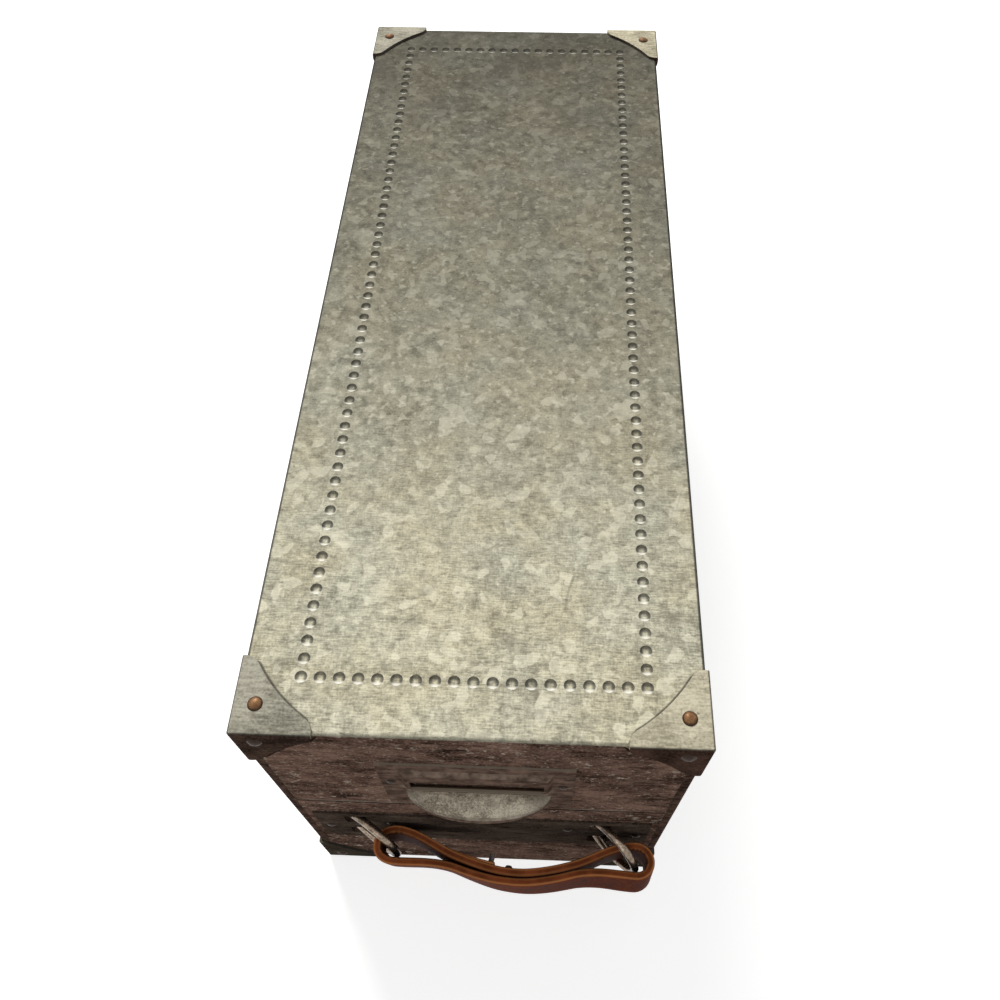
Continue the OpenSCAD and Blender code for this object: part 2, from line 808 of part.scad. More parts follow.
// The filled hood: sections from end to end with a cap at each end
module hood_solid(half, out, drop, back, low) {
    k = pull_m + 4;
    points = [for (i = [0 : pull_n])
        each hood_section(pull_side + (180 - 2 * pull_side) * i / pull_n,
            half, out, drop, back, low)];
    faces = concat(
        [[for (j = [0 : k - 1]) j]],
        [[for (j = [k - 1 : -1 : 0]) pull_n * k + j]],
        [for (i = [0 : pull_n - 1]) for (j = [0 : k - 1]) for (t = [0, 1])
            t == 0 ? [i * k + j, (i + 1) * k + j, i * k + (j + 1) % k]
                : [i * k + (j + 1) % k, (i + 1) * k + j, (i + 1) * k + (j + 1) % k]]);
    polyhedron(points, faces);
}

// The hooded finger pull as one sheet, open below and towards the wall
module pull_hood() {
    translate([holder_x, -box_l / 2 - holder_t + 0.1, pull_z]) difference() {
        hood_solid(pull_w / 2, pull_out - holder_t + 0.1, pull_drop / (1 - cos(pull_turn)), 0, 0.1);
        translate([0, 0, -holder_t])
            hood_solid(pull_w / 2 - holder_t, pull_out - 2 * holder_t + 0.1,
                pull_drop / (1 - cos(pull_turn)), 1, 3);
    }
}

// Stamped label holder: back plate, raised card frame, window and finger pull
module label_pull() {
    plate_z = base_h + holder_z - holder_h / 2;
    color(zinc) placed() difference() {
        union() {
            difference() {
                union() {
                    translate([holder_x - holder_w / 2, -box_l / 2 - holder_t, plate_z])
                        cube([holder_w, holder_t, holder_h]);
                    card_block(0, card_out);
                }
                card_block(holder_t, card_out - holder_t, 1);
                translate([holder_x - window_w / 2, -box_l / 2 - card_out - 1, window_low])
                    cube([window_w, card_out + 1, window_h]);
            }
            pull_hood();
        }
        holder_rivet_places() rivet_hole(holder_t);
    }
}

module label_pull_rivets() {
    color(steel) placed() holder_rivet_places() small_rivet(holder_t + sheet_t);
}

base_wrapper();
base_front_panel();
base_rear_panel();
inner_rim();
base_bracket_front_left();
base_bracket_front_right();
base_bracket_rear_left();
base_bracket_rear_right();
base_bracket_rivets();
handle_plate();
handle_plate_rivets();
ring_left();
ring_right();
handle_strap();
strap_rivets();
hinge_base_leaf_left();
hinge_base_leaf_right();
hinge_pin_left();
hinge_pin_right();
hinge_base_rivets();
lid_wrapper();
lid_front_panel();
lid_rear_panel();
lid_bracket_front_left();
lid_bracket_front_right();
lid_bracket_rear_left();
lid_bracket_rear_right();
lid_bracket_rivets();
label_pull();
label_pull_rivets();
hinge_lid_leaf_left();
hinge_lid_leaf_right();
hinge_lid_rivets();
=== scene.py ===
"""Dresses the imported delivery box: camera, light, materials and the detailed leather strap."""
import json
import math

import bmesh
import bpy
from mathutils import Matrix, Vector


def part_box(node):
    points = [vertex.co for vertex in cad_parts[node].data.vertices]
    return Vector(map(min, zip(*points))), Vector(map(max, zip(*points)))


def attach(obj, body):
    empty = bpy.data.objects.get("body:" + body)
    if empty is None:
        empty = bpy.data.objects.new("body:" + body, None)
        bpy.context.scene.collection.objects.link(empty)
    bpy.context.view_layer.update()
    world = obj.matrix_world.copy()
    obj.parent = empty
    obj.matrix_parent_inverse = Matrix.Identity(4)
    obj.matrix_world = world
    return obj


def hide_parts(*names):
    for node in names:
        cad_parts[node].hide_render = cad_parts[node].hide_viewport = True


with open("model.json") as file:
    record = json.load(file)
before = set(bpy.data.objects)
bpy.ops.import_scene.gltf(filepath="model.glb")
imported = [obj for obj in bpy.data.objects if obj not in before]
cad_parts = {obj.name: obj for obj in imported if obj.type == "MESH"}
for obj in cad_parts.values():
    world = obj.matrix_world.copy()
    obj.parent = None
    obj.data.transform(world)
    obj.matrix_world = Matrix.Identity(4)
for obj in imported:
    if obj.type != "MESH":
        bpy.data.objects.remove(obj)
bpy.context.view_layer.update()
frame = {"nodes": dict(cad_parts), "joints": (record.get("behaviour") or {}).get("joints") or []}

# Lengths here are in metres; the strap's own numbers further down are in millimetres.
MM = 0.001
FRONT_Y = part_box("base_wrapper")[0].y
REAR_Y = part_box("base_wrapper")[1].y
TOP_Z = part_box("lid_wrapper")[1].z
HALF_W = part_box("lid_wrapper")[1].x
SEAM_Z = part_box("lid_wrapper")[0].z
# Lower edge of the label holder's card frame.
CARD_LOW = SEAM_Z + 0.0287
# The pale rim above the seam between lid and base, part wear and part painted highlight, and the dark
# joint below it.
SEAM_RIM = SEAM_Z + 0.0004
SEAM_JOINT = SEAM_Z - 0.0009
# Half widths of a fine drawn line: where it starts to show, and where it is full.
FINE_LINE = (0.0011, 0.0003)
# Painted light and shade on the zinc along the box, brighter near the handle end, darker towards
# the far end: two distances from the handle end, three levels, and the colour of its brightest
# flakes.
NEAR_AT = 0.04
MID_AT = 0.20
NEAR_PAINTED_LIGHT = (1.42, 1.41, 1.385)
MID_PAINTED_LIGHT = (0.70, 0.697, 0.700)
FAR_PAINTED_LIGHT = (0.295, 0.290, 0.293)
BRIGHT_ZINC = (0.80, 0.77, 0.62)
# Shape of the painted shade line drawn round a corner bracket's leaf, on the top and on the front.
TOP_REACH = 0.0310
FRONT_REACH = 0.0332
LEAF_SPAN = 0.0198
LEAF_HOLLOW = 0.0021
LEAF_SHOULDER = 0.0058
# Glow of the floor and of the world to the camera and in reflections, and the world's own light.
FLOOR_GLOW = 0.72
SKY_SEEN = 1.0
SKY_LIGHT = 0.22


class Graph:
    """Builds one node material around a Principled shader."""

    def __init__(self, name, **sockets):
        self.mat = bpy.data.materials.new(name)
        self.mat.use_nodes = True
        self.tree = self.mat.node_tree
        self.tree.nodes.clear()
        self.shader = self.add("ShaderNodeBsdfPrincipled", **sockets)
        self.out = self.add("ShaderNodeOutputMaterial")
        self.link(self.shader.outputs[0], self.out.inputs[0])
        coords = self.add("ShaderNodeTexCoord")
        self.place = coords.outputs["Object"]
        self.normal = coords.outputs["Normal"]

    def add(self, kind, **sockets):
        """A new node; a socket's name has _ where Blender has a space."""
        node = self.tree.nodes.new(kind)
        for key, value in sockets.items():
            self.put(value, node.inputs[key.replace("_", " ")])
        return node

    def put(self, value, socket):
        """Links another node's output to a socket, or sets a plain value on it."""
        if isinstance(value, bpy.types.NodeSocket):
            self.link(value, socket)
        else:
            socket.default_value = value

    def link(self, source, target):
        self.tree.links.new(source, target)

    def scaled(self, x, y, z, turn=0.0):
        """Object coordinates turned about the upright axis and stretched by a factor each way."""
        node = self.add("ShaderNodeMapping", Vector=self.place, Scale=(x, y, z))
        node.inputs["Rotation"].default_value = (0.0, 0.0, math.radians(turn))
        return node.outputs[0]

    def noise(self, scale, detail=3.0, rough=0.55, source=None, distort=0.0):
        node = self.add("ShaderNodeTexNoise", Vector=source or self.place, Scale=scale,
                        Detail=detail, Roughness=rough, Distortion=distort)
        return node.outputs["Fac"]

    def warped(self, amount, scale):
        """Object coordinates pushed about by a noise."""
        noise = self.add("ShaderNodeTexNoise", Vector=self.place, Scale=scale, Detail=2.0)
        push = self.add("ShaderNodeVectorMath")
        push.operation = "MULTIPLY_ADD"
        for socket, value in zip(push.inputs, (noise.outputs["Color"], (amount,) * 3, self.place)):
            self.put(value, socket)
        return push.outputs[0]

    def cells(self, scale, source=None, feature="F1"):
        """For each Voronoi cell: a random value, the distance inside it, a second random value."""
        node = self.add("ShaderNodeTexVoronoi", Vector=source or self.place, Scale=scale)
        node.feature = feature
        if feature == "SMOOTH_F1":
            node.inputs["Smoothness"].default_value = 0.25
        split = self.add("ShaderNodeSeparateColor", Color=node.outputs["Color"])
        return split.outputs[0], node.outputs["Distance"], split.outputs[1]

    def math(self, operation, a, b=0.0):
        node = self.add("ShaderNodeMath")
        node.operation = operation
        self.put(a, node.inputs[0])
        self.put(b, node.inputs[1])
        return node.outputs[0]

    def times(self, a, b):
        return self.math("MULTIPLY", a, b)

    def minus(self, a, b):
        return self.math("SUBTRACT", a, b)

    def absolute(self, value):
        return self.math("ABSOLUTE", value)

    def ramp(self, value, low, high, to_low=0.0, to_high=1.0, kind="SMOOTHSTEP"):
        """Eased step between two values, held level outside them."""
        node = self.add("ShaderNodeMapRange")
        node.interpolation_type = kind
        self.link(value, node.inputs["Value"])
        node.inputs["From Min"].default_value = low
        node.inputs["From Max"].default_value = high
        node.inputs["To Min"].default_value = to_low
        node.inputs["To Max"].default_value = to_high
        return node.outputs[0]

    def straight(self, value, low, high):
        """The same step without easing."""
        return self.ramp(value, low, high, kind="LINEAR")

    def axis(self, index, source=None):
        return self.add("ShaderNodeSeparateXYZ", Vector=source or self.place).outputs[index]

    def mix(self, factor, a, b, blend="MIX"):
        node = self.add("ShaderNodeMix")
        node.data_type = "RGBA"
        node.blend_type = blend
        for place, value in ((0, factor), (6, a), (7, b)):
            self.put((*value, 1.0) if isinstance(value, tuple) else value, node.inputs[place])
        return node.outputs[2]

    def blend(self, *parts):
        """Weighted sum of values: pairs of weight and socket."""
        total = None
        for weight, value in parts:
            term = self.times(value, weight)
            total = term if total is None else self.math("ADD", total, term)
        return total

    def paint(self, color, mask, strength, tone):
        """Lays a tone over a colour where the mask says so."""
        return self.mix(self.times(mask, strength), color, tone)

    def facing(self, low, high):
        """How squarely a face looks to the handle end."""
        return self.ramp(self.axis(1, self.normal), low, high)

    def flatness(self):
        """Near 1 on faces square to the box, less on bends and rounded rims."""
        rise = self.absolute(self.axis(2, self.normal))
        ahead = self.absolute(self.axis(1, self.normal))
        aside = self.absolute(self.axis(0, self.normal))
        return self.math("MAXIMUM", rise, self.math("MAXIMUM", ahead, aside))

    def band(self, value, centre, wide, narrow):
        """A soft line where a value is near its centre."""
        return self.ramp(self.absolute(self.minus(value, centre)), wide, narrow)

    def leaf_line(self, across, down, reach):
        """Painted shade line along a corner bracket's hollow edge, from the distances to the sheet's
        edges.
        """
        total = self.math("ADD", across, down)
        skew = self.math("DIVIDE", self.absolute(self.minus(across, down)), LEAF_SPAN)
        inner = self.math("MINIMUM", skew, 1.0)
        hollow = self.times(self.minus(1.0, self.times(inner, inner)), -LEAF_HOLLOW)
        shoulder = self.times(self.math("MAXIMUM", self.minus(skew, 1.0), 0.0), -LEAF_SHOULDER)
        edge = self.math("ADD", self.math("ADD", hollow, shoulder), reach)
        return self.band(total, edge, *FINE_LINE)

    def to_side(self):
        """Distance from the nearer long side of the box."""
        return self.minus(HALF_W, self.absolute(self.axis(0)))

    def finish(self, color, rough=None, height=None, depth=0.0002, strength=0.5):
        """Joins colour, roughness and a bump of some depth in metres to the shader."""
        self.link(color, self.shader.inputs["Base Color"])
        if rough is not None:
            self.link(rough, self.shader.inputs["Roughness"])
        if height is not None:
            bump = self.add("ShaderNodeBump", Height=height, Strength=strength, Distance=depth)
            self.link(bump.outputs[0], self.shader.inputs["Normal"])
        return self.mat


def zinc(name):
    """Hot-dip zinc: small feathered flakes, fine speckle, brushed lines near the handle end, and
    painted
    light and shade: lighter near the handle end, darker far off, darker long sides and their bends,
    a painted highlight and shade on the dents and a painted shade line round each bracket leaf.
    """
    g = Graph(name, Metallic=0.02, Specular_IOR_Level=0.0)
    crystal, _, tilt = g.cells(210.0, g.warped(0.007, 90.0), "SMOOTH_F1")
    small, _, small_tilt = g.cells(330.0, g.warped(0.004, 240.0), "SMOOTH_F1")
    cloud = g.noise(20.0, 3.0, 0.55)
    mottle = g.noise(230.0, 5.0, 0.72)
    grain = g.noise(1500.0, 2.0, 0.65)
    brush = g.noise(1.0, 3.0, 0.7, g.scaled(230.0, 1700.0, 600.0))
    weft = g.noise(1.0, 2.0, 0.6, g.scaled(1500.0, 330.0, 600.0))
    along = g.axis(1)
    near = g.ramp(along, FRONT_Y + MID_AT, FRONT_Y + NEAR_AT)
    far = g.ramp(along, FRONT_Y + MID_AT, REAR_Y)
    tone = g.blend((0.36, mottle), (0.12, cloud), (0.04, crystal), (0.07, small), (0.21, grain))
    lines = g.blend((0.75, brush), (0.25, weft))
    stripes = g.times(g.minus(lines, 0.5), g.math("ADD", near, 0.30))
    tone = g.math("ADD", tone, g.times(stripes, 0.46))
    color = g.mix(g.straight(tone, 0.28, 0.52), (0.235, 0.222, 0.170), (0.640, 0.612, 0.478))
    hue = g.straight(g.noise(34.0, 2.0, 0.5), 0.36, 0.64)
    color = g.mix(1.0, color, g.mix(hue, (0.975, 1.0, 1.02), (1.02, 1.0, 0.955)), "MULTIPLY")
    middle = g.minus(1.0, g.times(near, 0.55))
    spark = g.ramp(g.noise(1.0, 2.0, 0.55, g.scaled(270.0, 300.0, 300.0)), 0.575, 0.70)
    color = g.paint(color, spark, g.times(middle, 0.62), BRIGHT_ZINC)
    color = g.paint(color, g.ramp(crystal, 0.80, 0.90), 0.34, BRIGHT_ZINC)
    dim = g.ramp(g.noise(1.0, 3.0, 0.6, g.scaled(95.0, 150.0, 150.0)), 0.56, 0.70)
    color = g.paint(color, dim, 0.34, (0.19, 0.18, 0.145))
    pits = g.ramp(g.noise(1.0, 2.0, 0.5, g.scaled(300.0, 620.0, 620.0)), 0.655, 0.74)
    color = g.paint(color, pits, 0.42, (0.14, 0.125, 0.10))
    web = g.add("ShaderNodeTexVoronoi", Vector=g.warped(0.05, 9.0), Scale=13.0)
    web.feature = "DISTANCE_TO_EDGE"
    broken = g.ramp(g.noise(30.0, 2.0, 0.5), 0.50, 0.60)
    scratch = g.times(g.ramp(web.outputs["Distance"], 0.0055, 0.0020), broken)
    color = g.paint(color, scratch, g.times(near, 0.4), (0.16, 0.15, 0.12))
    # Painted light and shade along the box: brighter near the handle end, darker towards the far end.
    shade = g.mix(g.straight(along, FRONT_Y + NEAR_AT, FRONT_Y + MID_AT), NEAR_PAINTED_LIGHT, MID_PAINTED_LIGHT)
    shade = g.mix(g.straight(along, FRONT_Y + MID_AT, REAR_Y), shade, FAR_PAINTED_LIGHT)
    color = g.mix(1.0, color, shade, "MULTIPLY")
    stain = g.times(g.ramp(g.noise(24.0, 4.0, 0.6), 0.48, 0.68), far)
    color = g.paint(color, stain, 0.5, (0.105, 0.093, 0.078))
    aside = g.absolute(g.axis(0, g.normal))
    # The long sides darkened by the way they face: painted shade.
    color = g.paint(color, g.ramp(aside, 0.35, 0.9), 0.62, (0.085, 0.082, 0.076))
    # Painted shade on the rounded bends that turn towards the long sides.
    bend = g.times(g.ramp(aside, 0.10, 0.40), g.ramp(aside, 0.995, 0.93))
    color = g.paint(color, bend, 0.75, (0.040, 0.042, 0.045))
    ends = g.math("MINIMUM", g.minus(along, FRONT_Y), g.minus(REAR_Y, along))
    tip = g.axis(1, g.normal)
    in_dents = g.ramp(ends, 0.010, 0.014)
    # Away from the ends: a painted highlight on slopes facing the far end, painted shade on slopes
    # facing the handle end.
    dent_highlight = g.times(g.ramp(tip, 0.16, 0.42), in_dents)
    color = g.paint(color, dent_highlight, 0.85, (0.93, 0.91, 0.83))
    dent_shade = g.times(g.ramp(tip, -0.06, -0.34), in_dents)
    color = g.paint(color, dent_shade, 0.72, (0.085, 0.078, 0.062))
    # A painted shade line round each corner bracket's leaf on the top.
    top = g.ramp(g.axis(2, g.normal), 0.8, 0.95)
    line = g.leaf_line(g.to_side(), ends, TOP_REACH)
    color = g.paint(color, line, g.times(top, 0.75), (0.055, 0.05, 0.045))
    facing = g.times(g.facing(-0.50, -0.97), g.ramp(along, FRONT_Y + 0.020, FRONT_Y + 0.010))
    uneven = g.times(g.minus(lines, 0.5), 0.006)
    below = g.math("ADD", g.minus(TOP_Z, g.axis(2)), uneven)
    facing = g.times(facing, g.ramp(below, 0.0006, 0.0042, 0.50, 1.0))
    brown = g.mix(g.straight(mottle, 0.38, 0.62), (0.034, 0.019, 0.015), (0.150, 0.094, 0.070))
    color = g.mix(facing, color, brown)
    rough = g.ramp(tone, 0.2, 0.6, 0.68, 0.50)
    height = g.blend((0.4, tilt), (0.25, small_tilt), (0.5, lines), (0.4, grain))
    return g.finish(color, rough, height, 0.00010, 0.30)


def weathered(name, low, high, fleck, flecked):
    """Dark oxidised zinc: blotches, pale flecks drawn out sideways, a pale rim at the seam, part wear
    and part painted highlight, and a painted shade line by each bracket leaf.
    """
    g = Graph(name, Metallic=0.0, Specular_IOR_Level=0.0)
    broad = g.noise(55.0, 5.0, 0.68, g.scaled(0.7, 1.0, 1.25))
    streak = g.noise(1.0, 4.0, 0.7, g.scaled(170.0, 300.0, 430.0))
    grain = g.noise(1200.0, 2.0, 0.65)
    tone = g.blend((0.46, broad), (0.26, streak), (0.28, grain))
    color = g.mix(g.straight(tone, 0.41, 0.60), low, high)
    patch = g.ramp(g.noise(42.0, 2.0, 0.5, g.scaled(0.7, 1.0, 1.3)), 0.44, 0.60)
    spots = g.noise(1.0, 3.0, 0.7, g.scaled(280.0, 380.0, 400.0))
    flecks = g.times(g.ramp(spots, 0.575, 0.68), g.math("ADD", patch, 0.15))
    tiny = g.ramp(g.noise(1.0, 1.0, 0.5, g.scaled(560.0, 900.0, 700.0)), 0.66, 0.73)
    flecks = g.math("MAXIMUM", flecks, g.times(tiny, 0.6))
    color = g.paint(color, flecks, flecked, fleck)
    dark = g.ramp(g.noise(1.0, 3.0, 0.6, g.scaled(60.0, 200.0, 260.0)), 0.56, 0.70)
    color = g.paint(color, dark, 0.65, tuple(0.35 * c for c in low))
    joint = g.band(g.axis(2), SEAM_JOINT, 0.0012, 0.0004)
    color = g.paint(color, joint, 0.75, tuple(0.3 * c for c in low))
    # A pale line along the lid's lower edge: part wear, part painted highlight.
    seam = g.band(g.axis(2), SEAM_RIM, *FINE_LINE)
    wear_and_highlight = g.ramp(g.noise(1.0, 3.0, 0.6, g.scaled(70.0, 70.0, 10.0)), 0.36, 0.58)
    color = g.paint(color, seam, g.times(wear_and_highlight, 0.7), (0.34, 0.30, 0.25))
    # A painted shade line round each corner bracket's front leaf.
    below = g.minus(TOP_Z, g.axis(2))
    line = g.leaf_line(g.to_side(), below, FRONT_REACH)
    color = g.paint(color, line, g.times(g.facing(-0.7, -0.9), 0.9), (0.018, 0.009, 0.007))
    rough = g.ramp(tone, 0.3, 0.7, 0.72, 0.55)
    return g.finish(color, rough, g.blend((0.5, streak), (0.5, grain)), 0.00015, 0.5)


def sheet_pull(name, low, high):
    """Sandy matt zinc of the stamped label holder, brown on its upright faces; the window's lower lip
    and the rims facing up paler, part wear and part painted highlight.
    """
    g = Graph(name, Metallic=0.0, Specular_IOR_Level=0.0)
    grain = g.noise(1300.0, 2.0, 0.7)
    blotch = g.noise(190.0, 4.0, 0.65)
    broad = g.noise(52.0, 3.0, 0.55)
    tone = g.blend((0.38, grain), (0.36, blotch), (0.26, broad))
    color = g.mix(g.straight(tone, 0.41, 0.59), low, high)
    ends = g.ramp(g.absolute(g.axis(0)), 0.014, 0.030)
    color = g.paint(color, ends, 0.60, (0.140, 0.105, 0.080))
    rise = g.axis(2, g.normal)
    upright = g.ramp(rise, 0.42, 0.12)
    frame_part = g.ramp(g.axis(2), CARD_LOW - 0.0005, CARD_LOW + 0.0005)
    streak = g.noise(1.0, 3.0, 0.6, g.scaled(120.0, 300.0, 480.0))
    front_tone = g.mix(g.straight(g.blend((0.5, blotch), (0.5, streak)), 0.38, 0.62),
                 (0.068, 0.044, 0.033), (0.270, 0.180, 0.137))
    bevel = g.mix(g.straight(blotch, 0.38, 0.62), (0.150, 0.105, 0.078), (0.400, 0.295, 0.225))
    color = g.mix(frame_part, color, bevel)
    color = g.mix(upright, color, front_tone)
    # The window's lower lip paler: part wear, part painted highlight.
    lip = g.times(g.ramp(g.axis(2), CARD_LOW + 0.0042, CARD_LOW + 0.0030), frame_part)
    lip = g.times(lip, g.ramp(g.absolute(g.axis(0)), 0.032, 0.027))
    color = g.paint(color, lip, 0.75, (0.42, 0.36, 0.27))
    # Rims of the frame that face up paler: part wear, part painted highlight.
    rim = g.times(g.ramp(rise, 0.86, 0.96), frame_part)
    color = g.paint(color, rim, 0.8, (0.40, 0.34, 0.26))
    flecks = g.ramp(g.noise(1.0, 1.0, 0.5, g.scaled(420.0, 700.0, 800.0)), 0.68, 0.75)
    color = g.paint(color, flecks, 0.4, (0.42, 0.38, 0.30))
    return g.finish(color, g.ramp(tone, 0.3, 0.7, 0.72, 0.55), grain, 0.00015, 0.5)


def stamped(name, low, high, front_low, front_high):
    """Corner bracket: brushed pale leaf on top, front leaves darkened as painted shade, rims darker,
    part dirt and part painted shade.
    """
    g = Graph(name, Metallic=0.0, Specular_IOR_Level=0.0)
    cloud = g.noise(70.0, 4.0, 0.6)
    grain = g.noise(1000.0, 2.0, 0.6)
    brush = g.noise(1.0, 3.0, 0.6, g.scaled(170.0, 900.0, 500.0, 52.0))
    tone = g.blend((0.38, cloud), (0.36, brush), (0.26, grain))
    color = g.mix(g.straight(tone, 0.40, 0.60), low, high)
    pits = g.ramp(g.noise(380.0, 2.0, 0.5), 0.66, 0.75)
    color = g.paint(color, pits, 0.45, (0.11, 0.10, 0.09))
    # Rims and bends darker: part dirt, part painted shade.
    color = g.paint(color, g.ramp(g.flatness(), 0.97, 0.84), 0.75, (0.075, 0.070, 0.062))
    front_tone = g.straight(g.blend((0.6, cloud), (0.4, grain)), 0.36, 0.64)
    # Leaves facing the front darkened: painted shade of the same steel.
    color = g.mix(g.facing(-0.55, -0.9), color, g.mix(front_tone, front_low, front_high))
    rough = g.ramp(tone, 0.3, 0.7, 0.58, 0.42)
    return g.finish(color, rough, g.blend((0.6, brush), (0.4, grain)), 0.0001, 0.35)


def domed(name, low, high, rim, metal, scale, dark_front=False):
    """Rivet heads: bright in the middle, darker round the shoulder as painted shade, fine pits; with
    dark_front, heads facing the front turn brown as painted shade.
    """
    g = Graph(name, Metallic=metal, Specular_IOR_Level=0.08)
    cloud = g.noise(scale, 4.0, 0.6, distort=0.4)
    grain = g.noise(scale * 5, 2.0, 0.6)
    tone = g.blend((0.65, cloud), (0.35, grain))
    color = g.mix(g.straight(tone, 0.36, 0.64), low, high)
    # Painted shade round the head's shoulder.
    color = g.mix(g.ramp(g.flatness(), 0.88, 0.74), color, rim)
    # Heads facing the front darkened: painted shade.
    if dark_front:
        brown = g.mix(cloud, (0.030, 0.020, 0.016), (0.110, 0.070, 0.052))
        color = g.mix(g.facing(-0.4, -0.7), color, brown)
    return g.finish(color, g.ramp(tone, 0.3, 0.7, 0.52, 0.34), grain, 0.0001, 0.3)


def plain_metal(name, low, high, rough, metal, scale):
    """Worn metal with fine speckle and cloudy tarnish; rough is its least and most roughness."""
    g = Graph(name, Metallic=metal)
    cloud = g.noise(scale, 4.0, 0.6, distort=0.4)
    grain = g.noise(scale * 5, 2.0, 0.6)
    brush = g.noise(1.0, 2.0, 0.5, g.scaled(scale * 0.3, scale * 4, scale * 4))
    tone = g.blend((0.5, cloud), (0.25, grain), (0.25, brush))
    color = g.mix(g.ramp(tone, 0.34, 0.66), low, high)
    return g.finish(color, g.ramp(tone, 0.3, 0.7, rough[1], rough[0]), grain, 0.0001, 0.25)


def leather(name, deep, mid, light, cut, rim):
    """Oiled leather: pores, long creases, paler cut edges with a painted highlight along their rims,
    and painted shade where the layers meet, marked by a colour attribute.
    """
    g = Graph(name, Metallic=0.0, Specular_IOR_Level=0.03)
    marks = g.add("ShaderNodeAttribute")
    marks.attribute_name = "marks"
    edge, crease_and_shade, rim_highlight = g.add("ShaderNodeSeparateColor", Color=marks.outputs["Color"]).outputs
    pores, pore_in, _ = g.cells(1500.0)
    cloud = g.noise(55.0, 4.0, 0.6)
    fine = g.noise(520.0, 3.0, 0.6)
    tone = g.blend((0.5, cloud), (0.3, fine), (0.2, pores))
    color = g.mix(g.ramp(tone, 0.36, 0.52), deep, mid)
    color = g.mix(g.ramp(tone, 0.52, 0.70), color, light)
    fibre = g.noise(1.0, 3.0, 0.6, g.scaled(110.0, 110.0, 900.0))
    cut_tone = g.mix(g.ramp(fibre, 0.35, 0.65), tuple(c * 0.55 for c in cut), cut)
    # Painted highlight lines along the rounded rims of the cut edges.
    cut_tone = g.mix(g.times(rim_highlight, 0.85), cut_tone, rim)
    color = g.mix(edge, color, cut_tone)
    # Dark wrinkles, and painted shade where the two layers meet.
    color = g.paint(color, crease_and_shade, 0.85, tuple(c * 0.35 for c in deep))
    rough = g.ramp(tone, 0.3, 0.7, 0.55, 0.72)
    height = g.blend((0.5, pore_in), (0.6, fine), (0.4, fibre))
    return g.finish(color, rough, height, 0.00018, 0.45)


def seen_directly(tree):
    """1 for rays from the camera, in a reflection or through glass, else 0."""
    rays = tree.nodes.new("ShaderNodeLightPath")
    total = rays.outputs["Is Camera Ray"]
    for kind in ("Is Glossy Ray", "Is Transmission Ray"):
        most = tree.nodes.new("ShaderNodeMath")
        most.operation = "MAXIMUM"
        tree.links.new(total, most.inputs[0])
        tree.links.new(rays.outputs[kind], most.inputs[1])
        total = most.outputs[0]
    return total


def floor_material():
    """Pale floor with a faint unevenness; to the camera it reads white and keeps the shadow."""
    g = Graph("studio_white", Roughness=0.95, Metallic=0.0)
    haze = g.noise(1.5, 1.0, 0.5)
    mat = g.finish(g.mix(haze, (0.70, 0.70, 0.70), (0.72, 0.72, 0.72)))
    glow = g.add("ShaderNodeEmission", Strength=g.times(seen_directly(g.tree), FLOOR_GLOW))
    both = g.add("ShaderNodeAddShader")
    g.link(g.shader.outputs[0], both.inputs[0])
    g.link(glow.outputs[0], both.inputs[1])
    g.link(both.outputs[0], g.out.inputs[0])
    return mat


zinc_pale = zinc("galvanised")
dark_zinc = weathered("weathered_zinc", low=(0.042, 0.023, 0.017), high=(0.340, 0.212, 0.158),
                      fleck=(0.72, 0.62, 0.50), flecked=0.75)
plate_zinc = weathered("ring_plate_zinc", low=(0.045, 0.031, 0.024), high=(0.165, 0.122, 0.094),
                       fleck=(0.30, 0.26, 0.21), flecked=0.45)
pull_zinc = sheet_pull("pull_zinc", low=(0.30, 0.255, 0.188), high=(1.0, 0.90, 0.71))
bracket_left = stamped("bracket_left", low=(0.225, 0.212, 0.167), high=(0.590, 0.562, 0.455),
                       front_low=(0.034, 0.020, 0.015), front_high=(0.150, 0.098, 0.074))
bracket_right = stamped("bracket_right", low=(0.370, 0.336, 0.240), high=(0.830, 0.766, 0.576),
                        front_low=(0.030, 0.016, 0.012), front_high=(0.140, 0.084, 0.063))
# The lower brackets: the same stamped steel, darker all over as painted shade.
bracket_low_shaded = stamped("bracket_low_shaded", low=(0.060, 0.054, 0.040), high=(0.170, 0.155, 0.118),
                      front_low=(0.038, 0.031, 0.022), front_high=(0.110, 0.092, 0.066))
copper = domed("copper", low=(0.130, 0.062, 0.028), high=(0.400, 0.215, 0.100),
               rim=(0.040, 0.022, 0.014), metal=0.10, scale=700.0, dark_front=True)
dull_rivet = domed("dull_rivet", low=(0.040, 0.026, 0.020), high=(0.150, 0.100, 0.074),
                   rim=(0.016, 0.011, 0.009), metal=0.0, scale=500.0)
dull_steel = plain_metal("dull_steel", low=(0.09, 0.086, 0.066), high=(0.26, 0.25, 0.20),
                         rough=(0.45, 0.65), metal=0.3, scale=500.0)
pin_steel = plain_metal("pin_steel", low=(0.12, 0.09, 0.075), high=(0.34, 0.28, 0.24),
                        rough=(0.42, 0.6), metal=0.4, scale=500.0)
ring_steel = plain_metal("ring_steel", low=(0.075, 0.050, 0.035), high=(0.42, 0.33, 0.25),
                         rough=(0.22, 0.36), metal=0.85, scale=260.0)
hide = leather("leather", deep=(0.040, 0.008, 0.004), mid=(0.120, 0.027, 0.011),
               light=(0.215, 0.058, 0.021), cut=(0.430, 0.118, 0.040), rim=(1.0, 0.430, 0.160))

